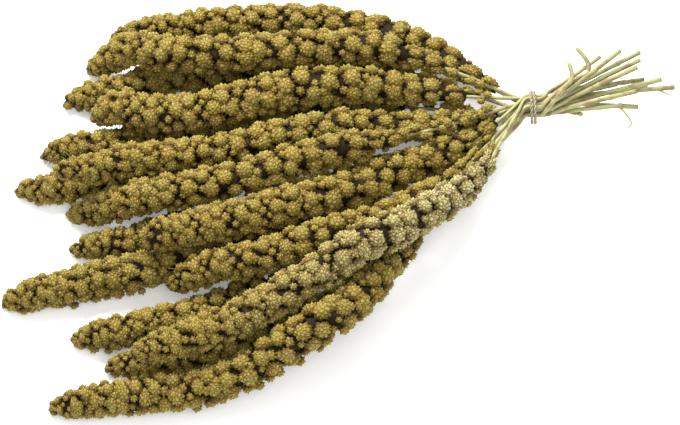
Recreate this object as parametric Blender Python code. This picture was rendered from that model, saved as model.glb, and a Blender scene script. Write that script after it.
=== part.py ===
"""A tied bunch of millet seed heads lying on a flat surface. Metres, +Z up.

The tips point along -X and the cut stem ends along +X. Each spray is a head
of seed clusters on its own stem, and one twine winding ties all the stems.
"""

import math
import random

import bmesh
import bpy
import numpy as np
from mathutils import Vector

# The outlines of the sprays are laid out on a plane that leans back by this angle from upright:
# "right" runs along +X, "up" climbs the plane, and both are measured from the tie.
PLANE_TILT = math.radians(90 - 54)

# The bunch is laid out round the tie, which is held at this height, and is then moved so that
# the middle of its footprint is the origin and its lowest clusters rest at height zero.
TIE_HEIGHT = 0.022
REST_CUT = 0.0014
CENTRING = Vector((0.1260, 0.0745, -REST_CUT))

# Sizes of the heads
CLUSTERS_AROUND = 6
CLUSTER_PITCH = 0.0142
VALLEY_DEPTH = 0.22
TIP_SHARE = 0.12
SOCKET_DEPTH = 0.008
SOCKET_CLEARANCE = 0.0006
SOCKET_WALL = 0.0015

# Sizes of the stems and the tie
STEM_SIDES = 6
STEM_RADIUS_AT_HEAD = 0.0011
STEM_RADIUS_IN_TIE = 0.00145
STEM_RADIUS_AT_CUT = 0.0017
FINE_REACH_OF_TIE = 0.022
STEM_PITCH_IN_TIE = 0.00355
TWINE_RADIUS = 0.001
TWINE_SIDES = 6
TWINE_TURNS = 2
TWINE_PITCH = 0.0022
TWINE_POINTS_PER_TURN = 20
CLEARANCE = 0.0003

# Steps of the laying
SLICE = 0.005
FIRST_SLICE = -0.35
SLICE_COUNT = 90
LAYER_RISE = 0.019
HEAD_GAP = 0.0007
STEM_GAP = 0.0009
LAYING_ROUNDS = 800
FARTHEST_PUSH = 0.004
STEEPEST = 2.0

HEAD_COLOUR = (0.50, 0.36, 0.11)
PALE_HEAD_COLOUR = (0.56, 0.45, 0.20)
STEM_COLOUR = (0.58, 0.50, 0.26)
TWINE_COLOUR = (0.50, 0.40, 0.24)

# Each spray: layer in the heap, head radius, the head's route from its tip to its neck as
# (right, up) points in millimetres, the place of the cut end, and points past it where bent.
SPRAYS = [
    (0.8, 13.7, [(-278, 46), (-218, 55), (-140, 53), (-75, 43), (-24, 10)], (32, -5), []),
    (1.6, 14.2, [(-294, 25), (-237, 33), (-166, 37), (-107, 40), (-58, 26)], (69, 0), []),
    (0.0, 14.2, [(-309, 0), (-263, 20), (-205, 23), (-140, 27), (-50, 13)], (58, 1), []),
    (2.0, 15.2, [(-289, -9), (-224, -5), (-159, 12), (-101, 14), (-44, 6)], (93, 13), []),
    (0.0, 13.7, [(-323, -34), (-276, -20), (-211, -14), (-146, -5), (-84, 1)], (67, 10), []),
    (0.0, 13.7, [(-339, -56), (-289, -53), (-224, -42), (-159, -29), (-94, -16)], (84, 18), []),
    (1.2, 13.7, [(-311, -42), (-257, -40), (-198, -30), (-140, -16), (-75, -13), (-24, -7)], (75, 14), []),
    (1.4, 14.2, [(-304, -71), (-263, -58), (-198, -47), (-140, -30), (-88, -21)], (55, 15), []),
    (0.0, 13.2, [(-302, -95), (-263, -86), (-198, -77), (-140, -57), (-78, -33)], (68, 26), []),
    (0.2, 15.2, [(-345, -129), (-302, -117), (-244, -103), (-172, -87), (-107, -61)], (70, 31), []),
    (2.0, 15.2, [(-252, -85), (-192, -73), (-133, -59), (-75, -39), (-25, -17)], (73, 18), []),
    (0.2, 14.2, [(-299, -153), (-257, -144), (-205, -126), (-146, -107), (-94, -77)], (57, 37), []),
    (2.0, 14.2, [(-236, -116), (-185, -102), (-133, -86), (-88, -67), (-48, -43)], (70, 36), []),
    (2.4, 14.7, [(-261, -160), (-205, -143), (-146, -113), (-94, -82), (-55, -60), (-28, -42)], (44, 33), []),
    (0.9, 15.2, [(-313, -196), (-257, -185), (-198, -176), (-153, -146), (-114, -116), (-75, -81)],
     (36, 21), [(35, 30), (28, 39)]),
    (0.0, 13.7, [(-277, -170), (-231, -164), (-179, -152), (-127, -120), (-88, -92)], (25, 19), [(23, 29)]),
]
PALE_SPRAY = 14


def smooth_route(points, at):
    """Height of the smooth curve through the points, at each place along X."""
    p = np.array(points) / 1000
    slopes = np.gradient(p[:, 1], p[:, 0])
    k = np.clip(np.searchsorted(p[:, 0], at) - 1, 0, len(p) - 2)
    span = p[k + 1, 0] - p[k, 0]
    t = np.clip((at - p[k, 0]) / span, 0, 1)
    ends = p[k, 1] * (1 + 2 * t) * (1 - t) ** 2 + p[k + 1, 1] * t**2 * (3 - 2 * t)
    return ends + slopes[k] * span * t * (1 - t) ** 2 - slopes[k + 1] * span * t**2 * (1 - t)


def head_radius(girth, along):
    """Outer radius of a head at a share of its length, from the neck (0) to the tip (1)."""
    body = np.interp(along, [0, 0.05, 0.15, 0.35, 0.75, 1], [0.32, 0.54, 0.85, 1.0, 0.97, 0.82])
    past = np.clip((along - 1 + TIP_SHARE) / TIP_SHARE, 0, 1)
    return girth * body * np.maximum(np.sqrt(1 - past**2), 0.2)


def stem_radius(x, neck):
    """Radius of a stem, which thickens from the neck of its head to the cut ends."""
    return np.interp(x, [neck, 0.09], [STEM_RADIUS_AT_HEAD, STEM_RADIUS_AT_CUT])


def tie_slots(count):
    """Places of the stems in the tie: the honeycomb points nearest its middle."""
    grid = [
        (STEM_PITCH_IN_TIE * (i + j / 2), STEM_PITCH_IN_TIE * j * math.sqrt(3) / 2)
        for i in range(-2, 3)
        for j in range(-2, 3)
    ]
    grid.sort(key=lambda p: (round(math.hypot(*p), 6), math.atan2(p[1], p[0])))
    return np.array(grid[:count])


def nearest_slots(wanted, slots):
    """One slot for each spray, swapped in pairs until no swap brings them nearer."""
    order = list(range(len(slots)))

    def cost(spray, slot):
        return float(np.sum((wanted[spray] - slots[slot]) ** 2))

    swapped = True
    while swapped:
        swapped = False
        for i in range(len(order)):
            for j in range(i):
                kept = cost(i, order[i]) + cost(j, order[j])
                if cost(i, order[j]) + cost(j, order[i]) < kept - 1e-12:
                    order[i], order[j] = order[j], order[i]
                    swapped = True
    return slots[order]


def starting_places(at):
    """Rough routes of all the sprays on the leaning plane, before they are pushed apart."""
    count = len(SPRAYS)
    up = np.zeros((count, len(at)))
    height = np.zeros((count, len(at)))
    radius = np.zeros((count, len(at)))
    in_head = np.zeros((count, len(at)), bool)
    present = np.zeros((count, len(at)), bool)
    lean, rise = math.cos(PLANE_TILT), math.sin(PLANE_TILT)
    tie = np.array([TIE_HEIGHT * rise, TIE_HEIGHT * lean])
    for i, (layer, girth, route, end, _) in enumerate(SPRAYS):
        tip, neck, cut = route[0][0] / 1000, route[-1][0] / 1000, end[0] / 1000
        in_head[i] = at <= neck
        present[i] = (at >= tip - SLICE / 2) & (at <= cut + SLICE)
        along = np.clip((neck - at) / (neck - tip), 0, 1)
        radius[i] = np.where(in_head[i], head_radius(girth / 1000, along), stem_radius(at, neck))
        up[i] = smooth_route(route, at) + tie[0]
        height[i] = (girth / 1000 + layer * LAYER_RISE - up[i] * rise) / lean
    necks = [int(np.argmin(abs(at - s[2][-1][0] / 1000))) for s in SPRAYS]
    rank = np.argsort(np.argsort([up[i, k] for i, k in enumerate(necks)])) / (count - 1)
    wanted = np.stack([[(s[0] - 1) * 0.007 for s in SPRAYS], 0.007 - 0.014 * rank], 1)
    slots = nearest_slots(wanted, tie_slots(count))
    for i, (_, _, route, end, _) in enumerate(SPRAYS):
        neck, cut, lift = route[-1][0] / 1000, end[0] / 1000, end[1] / 1000
        into = (at > neck) & (at < 0)
        t = (at[into] - neck) / -neck
        t = t * t * (3 - 2 * t)
        up[i, into] = up[i, necks[i]] * (1 - t) + (tie[0] + slots[i, 0]) * t
        height[i, into] = height[i, necks[i]] * (1 - t) + (tie[1] + slots[i, 1]) * t
        out = at >= 0
        t = at[out] / cut
        steep = 1 + max(0, abs(lift) / cut - 0.5)
        up[i, out] = tie[0] + slots[i, 0] * (1 - t) + lift * t**steep
        height[i, out] = tie[1] + slots[i, 1] * (1 - t) - slots[i, 0] * 1.6 * t
    slot_y = slots[:, 0] * lean - slots[:, 1] * rise
    slot_z = TIE_HEIGHT + slots[:, 0] * rise + slots[:, 1] * lean
    return up, height, radius, in_head, present, slot_y, slot_z


def bend_evenly(line, present, strength):
    """Pulls each point of each spray towards the middle of its two neighbours."""
    inner = present.copy()
    inner[:, 1:] &= present[:, :-1]
    inner[:, :-1] &= present[:, 1:]
    inner[:, [0, -1]] = False
    pull = np.zeros_like(line)
    pull[:, 1:-1] = (line[:, 2:] + line[:, :-2]) / 2 - line[:, 1:-1]
    return line + np.where(inner, pull, 0) * strength


def push_apart(y, z, radius, room, together):
    """Moves sprays that are too close away from each other, across their own slant."""
    dy = y[:, None] - y[None]
    dz = z[:, None] - z[None]
    slope_y = np.gradient(y, SLICE, axis=1)
    slope_z = np.gradient(z, SLICE, axis=1)
    mean_y = np.clip((slope_y[:, None] + slope_y[None]) / 2, -STEEPEST, STEEPEST)
    mean_z = np.clip((slope_z[:, None] + slope_z[None]) / 2, -STEEPEST, STEEPEST)
    slide = (dy * mean_y + dz * mean_z) ** 2 / (1 + mean_y**2 + mean_z**2)
    plain = np.sqrt(dy**2 + dz**2) + 1e-12
    true = np.sqrt(np.maximum(plain**2 - slide, (0.4 * plain) ** 2))
    need = np.where(together, np.clip(room - true, 0, FARTHEST_PUSH), 0) / true * 0.3
    y = y + np.sum(need * dy, axis=1)
    z = z + np.sum(need * dz, axis=1)
    return y, np.maximum(z, radius)


def lay_sprays():
    """Centre lines of all the sprays: the slices along X, and Y and Z of each spray in them."""
    at = FIRST_SLICE + SLICE * np.arange(SLICE_COUNT)
    up, height, radius, in_head, present, slot_y, slot_z = starting_places(at)
    lean, rise = math.cos(PLANE_TILT), math.sin(PLANE_TILT)
    y = up * lean - height * rise
    z = up * rise + height * lean
    held = np.abs(at) <= SLICE * 1.01
    apart = ~np.eye(len(SPRAYS), dtype=bool)[:, :, None]
    together = present[:, None] & present[None] & apart
    both_thin = ~in_head[:, None] & ~in_head[None]
    room = radius[:, None] + radius[None] + np.where(both_thin, STEM_GAP, HEAD_GAP)
    for turn in range(LAYING_ROUNDS):
        settling = turn < LAYING_ROUNDS * 0.7
        stiffness = 0.75 if settling else 0.2 if turn < LAYING_ROUNDS * 0.9 else 0.04
        y = bend_evenly(y, present, stiffness)
        z = bend_evenly(z, present, stiffness)
        pull = np.where(at < 0, np.where(in_head, 0.06, 0.01), 0.02) * (1 if settling else 0.2)
        off = (up - (y * lean + z * rise)) * pull
        y = y + off * lean
        z = z + off * rise
        if settling:
            z = z - in_head * 0.00012
        for _ in range(3):
            y, z = push_apart(y, z, radius, room, together)
            y[:, held] = slot_y[:, None]
            z[:, held] = slot_z[:, None]
    return at, y, z


def resample(points, spacing):
    """Points at even steps along a line of points, with both of its ends kept."""
    lengths = np.concatenate([[0], np.cumsum(np.linalg.norm(np.diff(points, axis=0), axis=1))])
    steps = max(2, round(lengths[-1] / spacing))
    wanted = np.linspace(0, lengths[-1], steps + 1)
    return np.stack([np.interp(wanted, lengths, points[:, k]) for k in range(3)], 1), wanted


def frames_along(points):
    """Two cross directions at each point of a line that runs mostly along X."""
    ahead = np.gradient(points, axis=0)
    ahead /= np.linalg.norm(ahead, axis=1)[:, None]
    side = np.cross(np.array([0.0, 0.0, 1.0]), ahead)
    side /= np.linalg.norm(side, axis=1)[:, None]
    return side, np.cross(ahead, side)


def ring(centre, side, over, radius, sides):
    """A closed ring of points round a centre."""
    angles = [2 * math.pi * k / sides for k in range(sides)]
    return [centre + (side * math.cos(a) + over * math.sin(a)) * radius for a in angles]


def tube(bm, rings):
    """A tube through rings of equal count, closed at both ends."""
    rows = [[bm.verts.new(p) for p in points] for points in rings]
    sides = len(rows[0])
    for low, high in zip(rows, rows[1:]):
        for k in range(sides):
            bm.faces.new((low[k], low[(k + 1) % sides], high[(k + 1) % sides], high[k]))
    bm.faces.new(rows[0][::-1])
    bm.faces.new(rows[-1])


def named_object(bm, name, colour, roughness):
    """A smooth-shaded object with a material of its own."""
    bmesh.ops.recalc_face_normals(bm, faces=bm.faces)
    mesh = bpy.data.meshes.new(name)
    bm.to_mesh(mesh)
    bm.free()
    mesh.shade_smooth()
    material = bpy.data.materials.new(name + "_material")
    material.use_nodes = True
    shader = material.node_tree.nodes["Principled BSDF"]
    shader.inputs["Base Color"].default_value = (*colour, 1)
    shader.inputs["Roughness"].default_value = roughness
    shader.inputs["Metallic"].default_value = 0
    mesh.materials.append(material)
    thing = bpy.data.objects.new(name, mesh)
    thing.location = CENTRING
    bpy.context.collection.objects.link(thing)


def cluster_rows(total):
    """Distances from the neck of the rows of seed clusters: wide at the neck, close at the tip."""
    rows = []
    place = SOCKET_DEPTH * 0.9
    while place < total - 0.002:
        rows.append(place)
        pitch = np.interp(place / total, [0, 0.5, 0.8, 1], [1.05, 0.95, 0.72, 0.4])
        place += CLUSTER_PITCH * pitch
    return rows


def cluster_points(rows, line, lengths, girth, chance):
    """Middle, outward direction and radius for every cluster, row by row from the neck."""
    total = lengths[-1]
    side, over = frames_along(line)
    grid = []
    for number, place in enumerate(rows):
        shift = 0.5 * (number % 2) + chance.uniform(-0.08, 0.08)
        row = []
        for k in range(CLUSTERS_AROUND):
            angle = 2 * math.pi * (k + shift + chance.uniform(-0.17, 0.17)) / CLUSTERS_AROUND
            spot = place + chance.uniform(-0.22, 0.22) * CLUSTER_PITCH
            spot = min(max(spot, SOCKET_DEPTH * 0.5), total - 0.001)
            centre, a, b = (
                np.array([np.interp(spot, lengths, table[:, c]) for c in range(3)])
                for table in (line, side, over)
            )
            radius = float(head_radius(girth, spot / total)) * chance.uniform(0.92, 1.0)
            outward = a * math.cos(angle) + b * math.sin(angle)
            row.append((centre, outward, radius))
        grid.append(row)
    return grid


def add_head(name, line, girth, colour, seed):
    """A head: clusters as pointed bumps that share the valleys between them, on a blind socket."""
    chance = random.Random(seed)
    line, lengths = resample(line, 0.004)
    side, over = frames_along(line)
    rows = cluster_rows(lengths[-1])
    grid = cluster_points(rows, line, lengths, girth, chance)
    bm = bmesh.new()
    count = CLUSTERS_AROUND
    inner = (STEM_RADIUS_AT_HEAD + SOCKET_CLEARANCE) / math.cos(math.pi / count)
    mouth = [bm.verts.new(p) for p in ring(line[0], side[0], over[0], inner + SOCKET_WALL, count)]
    peaks = [[bm.verts.new(c + out * r) for c, out, r in row] for row in grid]
    tip = bm.verts.new(line[-1])
    lattice = []
    levels = [(mouth, 0)] + [(row, n % 2) for n, row in enumerate(peaks)]
    for (low, _), (high, odd) in zip(levels, levels[1:]):
        for k in range(count):
            after = (k + 1) % count
            if odd:
                lattice.append((low[k], low[after], high[k]))
                lattice.append((low[after], high[after], high[k]))
            else:
                lattice.append((low[k], low[after], high[after]))
                lattice.append((low[k], high[after], high[k]))
    for k in range(count):
        lattice.append((peaks[-1][k], peaks[-1][(k + 1) % count], tip))
    dimple(bm, lattice, line, lengths)
    add_socket(bm, mouth, line, side, over, lengths, inner)
    if min(v.co.z for v in bm.verts) < REST_CUT:
        cut_flat(bm)
    named_object(bm, name, colour, 0.85)


def dimple(bm, triangles, line, lengths):
    """Sinks a valley in the middle of each triangle and joins valleys across each shared edge."""
    valleys = {}
    for corners in triangles:
        middle = sum((v.co for v in corners), Vector()) / 3
        nearest = Vector(line[int(np.argmin(np.sum((line - np.array(middle)) ** 2, axis=1)))])
        valleys[corners] = bm.verts.new(nearest + (middle - nearest) * (1 - VALLEY_DEPTH))
    edges = {}
    for corners in triangles:
        for k in range(3):
            edges.setdefault(frozenset((corners[k], corners[(k + 1) % 3])), []).append((corners, k))
    for users in edges.values():
        corners, k = users[0]
        start, end = corners[k], corners[(k + 1) % 3]
        if len(users) == 1:
            bm.faces.new((start, end, valleys[corners]))
        else:
            across = valleys[users[1][0]]
            bm.faces.new((start, across, valleys[corners]))
            bm.faces.new((end, valleys[corners], across))


def add_socket(bm, mouth, line, side, over, lengths, radius):
    """The blind hole in the neck that the stem stands in."""
    depth = int(np.argmin(abs(lengths - SOCKET_DEPTH)))
    loops = [mouth]
    for k in (0, depth):
        loops.append([bm.verts.new(p) for p in ring(line[k], side[k], over[k], radius, CLUSTERS_AROUND)])
    for low, high in zip(loops, loops[1:]):
        for k in range(CLUSTERS_AROUND):
            after = (k + 1) % CLUSTERS_AROUND
            bm.faces.new((low[after], low[k], high[k], high[after]))
    bm.faces.new(loops[-1])


def cut_flat(bm):
    """Cuts the lowest clusters flat, where the head rests on the surface."""
    everything = bm.verts[:] + bm.edges[:] + bm.faces[:]
    cut = bmesh.ops.bisect_plane(
        bm, geom=everything, plane_co=(0, 0, REST_CUT), plane_no=(0, 0, -1), clear_outer=True
    )
    rims = [e for e in cut["geom_cut"] if isinstance(e, bmesh.types.BMEdge)]
    bmesh.ops.edgeloop_fill(bm, edges=rims)


def add_stem(name, line, neck):
    """A stem: a thin tapered tube from the socket in its head to its cut end."""
    kept = (np.arange(len(line)) % 3 == 0) | (np.abs(line[:, 0]) < FINE_REACH_OF_TIE)
    kept[[1, -1]] = True
    points = line[kept]
    side, over = frames_along(points)
    radii = stem_radius(points[:, 0], neck)
    bm = bmesh.new()
    tube(bm, [ring(p, a, b, r, STEM_SIDES) for p, a, b, r in zip(points, side, over, radii)])
    named_object(bm, name, STEM_COLOUR, 0.6)


def add_tie(lines):
    """A twine wound round all the stems in turns that lie side by side."""
    half_width = TWINE_PITCH * TWINE_TURNS / 2 + TWINE_RADIUS
    band = np.linspace(-half_width, half_width, 7)
    y = np.array([np.interp(band, line[:, 0], line[:, 1]) for line in lines])
    z = np.array([np.interp(band, line[:, 0], line[:, 2]) for line in lines])
    centre = Vector((0, (y.min() + y.max()) / 2, (z.min() + z.max()) / 2))
    inside = float(np.hypot(y - centre.y, z - centre.z).max()) + STEM_RADIUS_IN_TIE
    radius = inside + CLEARANCE + TWINE_RADIUS
    rings = []
    for k in range(TWINE_TURNS * TWINE_POINTS_PER_TURN + 1):
        turns = k / TWINE_POINTS_PER_TURN
        out = Vector((0, math.cos(2 * math.pi * turns), math.sin(2 * math.pi * turns)))
        middle = centre + Vector((TWINE_PITCH * (turns - TWINE_TURNS / 2), 0, 0)) + out * radius
        rings.append(ring(middle, out, Vector((1, 0, 0)), TWINE_RADIUS, TWINE_SIDES))
    bm = bmesh.new()
    tube(bm, rings)
    named_object(bm, "tie", TWINE_COLOUR, 0.9)


def bent_end(bends, height):
    """Points of a stem's bent end, at the depth where its straight part stops."""
    lean, rise = math.cos(PLANE_TILT), math.sin(PLANE_TILT)
    points = []
    for right, lift in bends:
        up = lift / 1000 + TIE_HEIGHT * rise
        points.append((right / 1000, up * lean - height * rise, up * rise + height * lean))
    return points


def build():
    """All the sprays and their tie."""
    for thing in list(bpy.data.objects):
        bpy.data.objects.remove(thing, do_unlink=True)
    at, y, z = lay_sprays()
    lean, rise = math.cos(PLANE_TILT), math.sin(PLANE_TILT)
    lines = []
    for i, (_, girth, route, end, bends) in enumerate(SPRAYS):
        tip, neck, cut = route[0][0] / 1000, route[-1][0] / 1000, end[0] / 1000
        between = at[(at > tip + SLICE / 2) & (at < cut - SLICE / 2)]
        x = np.concatenate([[tip], between, [cut]])
        line = np.stack([x, np.interp(x, at, y[i]), np.interp(x, at, z[i])], 1)
        height = line[-1, 2] * lean - line[-1, 1] * rise
        line = np.array([*line, *bent_end(bends, height)])
        lines.append(line)
        fine, lengths = resample(line, 0.001)
        joint = int(np.argmin(abs(fine[:, 0] - neck)))
        start = int(np.argmin(abs(lengths - lengths[joint] + SOCKET_DEPTH - SOCKET_CLEARANCE)))
        stem = np.array([fine[start], fine[joint], *line[line[:, 0] > neck + SLICE / 4]])
        colour = PALE_HEAD_COLOUR if i + 1 == PALE_SPRAY else HEAD_COLOUR
        add_head(f"head_{i + 1:02d}", fine[joint::-1], girth / 1000, colour, seed=i + 1)
        add_stem(f"stem_{i + 1:02d}", stem, neck)
    add_tie(lines)


build()
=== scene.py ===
"""Looks of a tied bunch of dried millet heads, laid out as an add-on and run as a script."""

import math
import random

import bmesh
import bpy
import numpy as np
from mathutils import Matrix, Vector


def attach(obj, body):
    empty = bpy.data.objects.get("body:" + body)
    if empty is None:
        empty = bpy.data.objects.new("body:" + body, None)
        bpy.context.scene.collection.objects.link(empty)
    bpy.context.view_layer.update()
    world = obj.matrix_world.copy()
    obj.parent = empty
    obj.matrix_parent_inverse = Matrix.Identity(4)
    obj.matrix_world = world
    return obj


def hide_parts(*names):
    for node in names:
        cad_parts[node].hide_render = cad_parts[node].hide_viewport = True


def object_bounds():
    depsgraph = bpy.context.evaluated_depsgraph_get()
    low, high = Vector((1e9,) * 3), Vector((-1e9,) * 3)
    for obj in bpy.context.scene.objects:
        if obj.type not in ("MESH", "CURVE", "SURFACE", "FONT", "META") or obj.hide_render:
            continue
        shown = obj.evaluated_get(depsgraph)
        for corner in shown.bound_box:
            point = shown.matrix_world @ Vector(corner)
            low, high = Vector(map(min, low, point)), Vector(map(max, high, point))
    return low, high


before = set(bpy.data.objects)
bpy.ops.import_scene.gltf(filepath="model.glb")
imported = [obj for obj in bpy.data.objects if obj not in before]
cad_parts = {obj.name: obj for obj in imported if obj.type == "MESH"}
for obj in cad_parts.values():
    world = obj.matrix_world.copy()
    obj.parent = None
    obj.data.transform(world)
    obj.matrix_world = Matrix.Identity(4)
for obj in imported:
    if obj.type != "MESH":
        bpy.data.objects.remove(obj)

bl_info = {
    "name": "Tied Millet Bunch",
    "version": (1, 0, 0),
    "blender": (4, 5, 0),
    "location": "3D View > Sidebar > Millet",
    "description": "Seed heads, stems, twine and stage of a bunch of dried millet",
    "category": "Object",
}

CAD_LOW, CAD_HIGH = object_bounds()

# The sprays are laid out on a plane that leans back by this angle from upright: "right" runs
# along +X, "up" climbs the plane, and both are measured from the tie.
PLANE_TILT = math.radians(90 - 54)
LEAN, RISE = math.cos(PLANE_TILT), math.sin(PLANE_TILT)
TIE_HEIGHT = 0.022
REST_CUT = 0.0014
CENTRING = np.array([0.1260, 0.0745, -REST_CUT])

# Sizes of the solid heads and stems
CLUSTERS_AROUND = 6
CLUSTER_PITCH = 0.0142
TIP_SHARE = 0.12
SOCKET_DEPTH = 0.008
STEM_RADIUS_AT_HEAD = 0.0011
STEM_RADIUS_IN_TIE = 0.00145
STEM_RADIUS_AT_CUT = 0.0017
STEM_PITCH_IN_TIE = 0.00355
CLEARANCE = 0.0003

# Sizes of the winding
TWINE_RADIUS = 0.001
TWINE_TURNS = 2
TWINE_PITCH = 0.0022

# Steps of the laying
SLICE = 0.005
FIRST_SLICE = -0.35
SLICE_COUNT = 90
LAYER_RISE = 0.019
HEAD_GAP = 0.0007
STEM_GAP = 0.0009
LAYING_ROUNDS = 800
FARTHEST_PUSH = 0.004
STEEPEST = 2.0

# Each spray: layer in the heap, head radius, the head's route from its tip to its neck as
# (right, up) points in millimetres, the place of the cut end, and points past it where bent.
SPRAYS = [
    (0.8, 13.7, [(-278, 46), (-218, 55), (-140, 53), (-75, 43), (-24, 10)], (32, -5), []),
    (1.6, 14.2, [(-294, 25), (-237, 33), (-166, 37), (-107, 40), (-58, 26)], (69, 0), []),
    (0.0, 14.2, [(-309, 0), (-263, 20), (-205, 23), (-140, 27), (-50, 13)], (58, 1), []),
    (2.0, 15.2, [(-289, -9), (-224, -5), (-159, 12), (-101, 14), (-44, 6)], (93, 13), []),
    (0.0, 13.7, [(-323, -34), (-276, -20), (-211, -14), (-146, -5), (-84, 1)], (67, 10), []),
    (0.0, 13.7, [(-339, -56), (-289, -53), (-224, -42), (-159, -29), (-94, -16)], (84, 18), []),
    (1.2, 13.7, [(-311, -42), (-257, -40), (-198, -30), (-140, -16), (-75, -13), (-24, -7)], (75, 14), []),
    (1.4, 14.2, [(-304, -71), (-263, -58), (-198, -47), (-140, -30), (-88, -21)], (55, 15), []),
    (0.0, 13.2, [(-302, -95), (-263, -86), (-198, -77), (-140, -57), (-78, -33)], (68, 26), []),
    (0.2, 15.2, [(-345, -129), (-302, -117), (-244, -103), (-172, -87), (-107, -61)], (70, 31), []),
    (2.0, 15.2, [(-252, -85), (-192, -73), (-133, -59), (-75, -39), (-25, -17)], (73, 18), []),
    (0.2, 14.2, [(-299, -153), (-257, -144), (-205, -126), (-146, -107), (-94, -77)], (57, 37), []),
    (2.0, 14.2, [(-236, -116), (-185, -102), (-133, -86), (-88, -67), (-48, -43)], (70, 36), []),
    (2.4, 14.7, [(-261, -160), (-205, -143), (-146, -113), (-94, -82), (-55, -60), (-28, -42)], (44, 33), []),
    (0.9, 15.2, [(-313, -196), (-257, -185), (-198, -176), (-153, -146), (-114, -116), (-75, -81)],
     (36, 21), [(35, 30), (28, 39)]),
    (0.0, 13.7, [(-277, -170), (-231, -164), (-179, -152), (-127, -120), (-88, -92)], (25, 19), [(23, 29)]),
]

# The pale head turns from gold to pale straw between these two places along X.
PALE_SPRAY = 14
PALE_FROM = -0.08
PALE_TO = 0.09

# Clumps of seeds: how many seeds the middle and small ones have, how many shapes of each kind
# are drawn, and half measures: the most for a large clump, the least for a large shape, the
# most for a clump in a valley, and the clump at the tip
MIDDLE_SEEDS = 25
SMALL_SEEDS = 13
LARGE_SHAPES = 10
MIDDLE_SHAPES = 6
SMALL_SHAPES = 8
WIDEST_CLUMP = 0.0068
HIGHEST_CLUMP = 0.0058
LARGE_CLUMP_FROM = 0.0048
WIDEST_VALLEY_CLUMP = 0.0048
TIP_CLUMP = 0.0028

# Share of the places along the sides of a head that hold a loose clump, the last place along X
# of a clump on a stem, and the stems whose far half is bare
LOOSE_SHARE = 0.75
LAST_CLUMP = -0.027
BARE_STEMS = (3, 6)

# The core under the clumps, which takes painted shade, and the bristles near the tip of a head
CORE_SHARE = 0.5
CORE_SIDES = 12
BRISTLES = 12
BRISTLE_RADII = (0.0002, 0.00017, 0.00013, 0.00006)

# Straws: the step along a stem, the swelling of a joint and its length, the rings of the hollow
# at the cut end as (way along the stem, share of the radius), and the radii of a split straw at
# its root and end
STRAW_STEP = 0.0022
JOINT_SWELLING = 0.22
JOINT_LENGTH = 0.0016
HOLLOW = ((0.0, 0.72), (-0.0012, 0.6), (-0.004, 0.5))
SHRED_RADII = (0.0009, 0.0004)
SHRED_SIDES = 6

# Split straws that hang from a stem: the stem, where each leaves it, and its further points, in
# the same (right, up) millimetres
SHREDS = [
    (3, 54, [(58, -2), (61, -5.5), (63.5, -9), (63.8, -12), (61.5, -13.5)]),
    (4, 8, [(16, 1.6), (24, 2.6), (26.5, 4.5), (28, 7.8)]),
    (4, 80, [(86, 9.5), (90, 8), (93, 9)]),
]

# The twine's two strands: sides, steps in each turn round the stems, and as shares of the
# twine's radius, how far a strand's middle is from the twine's, and the strand's own radius
STRAND_SIDES = 10
STEPS_PER_TURN = 90
STRAND_SWING = 0.5
STRAND_RADIUS = 0.58

# The photograph's frame: its size, the tie's place in it, the real size of one pixel, and how
# far in front of the tie this size holds. The camera stands far off, so that size hardly changes
# with depth.
PICTURE_SIZE = (680, 425)
TIE_PIXEL = (535, 106)
PIXEL = 0.00065
TRUE_PLANE = 0.04
CAMERA_DISTANCE = 5.0
SENSOR = 36.0
CLIP_END = 50

# Twine colours: pale fibres, and painted shade between the strands
PALE_FIBRE = (0.48, 0.42, 0.30)
TWINE_SHADOW = (0.07, 0.05, 0.03)

# The sheet under the bunch and the two soft lights: place, width and colour
SHEET_HALF_WIDTH = 3.0
SHEET_DROP = 0.0003
KEY_LIGHT = ((-0.35, 0.75, 1.25), 1.0, (1, 0.98, 0.94))
FILL_LIGHT = ((0.3, -1.2, 1.5), 1.2, (0.95, 0.97, 1))


def smooth_route(points, at):
    """Height of the smooth curve through the points, at each place along X."""
    p = np.array(points) / 1000
    slopes = np.gradient(p[:, 1], p[:, 0])
    k = np.clip(np.searchsorted(p[:, 0], at) - 1, 0, len(p) - 2)
    span = p[k + 1, 0] - p[k, 0]
    t = np.clip((at - p[k, 0]) / span, 0, 1)
    ends = p[k, 1] * (1 + 2 * t) * (1 - t) ** 2 + p[k + 1, 1] * t**2 * (3 - 2 * t)
    return ends + slopes[k] * span * t * (1 - t) ** 2 - slopes[k + 1] * span * t**2 * (1 - t)


def head_radius(girth, along):
    """Outer radius of a head at a share of its length, from the neck (0) to the tip (1)."""
    body = np.interp(along, [0, 0.05, 0.15, 0.35, 0.75, 1], [0.32, 0.54, 0.85, 1.0, 0.97, 0.82])
    past = np.clip((along - 1 + TIP_SHARE) / TIP_SHARE, 0, 1)
    return girth * body * np.maximum(np.sqrt(1 - past**2), 0.2)


def stem_radius(x, neck):
    """Radius of a stem, which thickens from the neck of its head to the cut ends."""
    return np.interp(x, [neck, 0.09], [STEM_RADIUS_AT_HEAD, STEM_RADIUS_AT_CUT])


def tie_slots(count):
    """Places of the stems in the tie: the honeycomb points nearest its middle."""
    grid = [
        (STEM_PITCH_IN_TIE * (i + j / 2), STEM_PITCH_IN_TIE * j * math.sqrt(3) / 2)
        for i in range(-2, 3)
        for j in range(-2, 3)
    ]
    grid.sort(key=lambda p: (round(math.hypot(*p), 6), math.atan2(p[1], p[0])))
    return np.array(grid[:count])


def nearest_slots(wanted, slots):
    """One slot for each spray, swapped in pairs until no swap brings them nearer."""
    order = list(range(len(slots)))

    def cost(spray, slot):
        return float(np.sum((wanted[spray] - slots[slot]) ** 2))

    swapped = True
    while swapped:
        swapped = False
        for i in range(len(order)):
            for j in range(i):
                kept = cost(i, order[i]) + cost(j, order[j])
                if cost(i, order[j]) + cost(j, order[i]) < kept - 1e-12:
                    order[i], order[j] = order[j], order[i]
                    swapped = True
    return slots[order]


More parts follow.
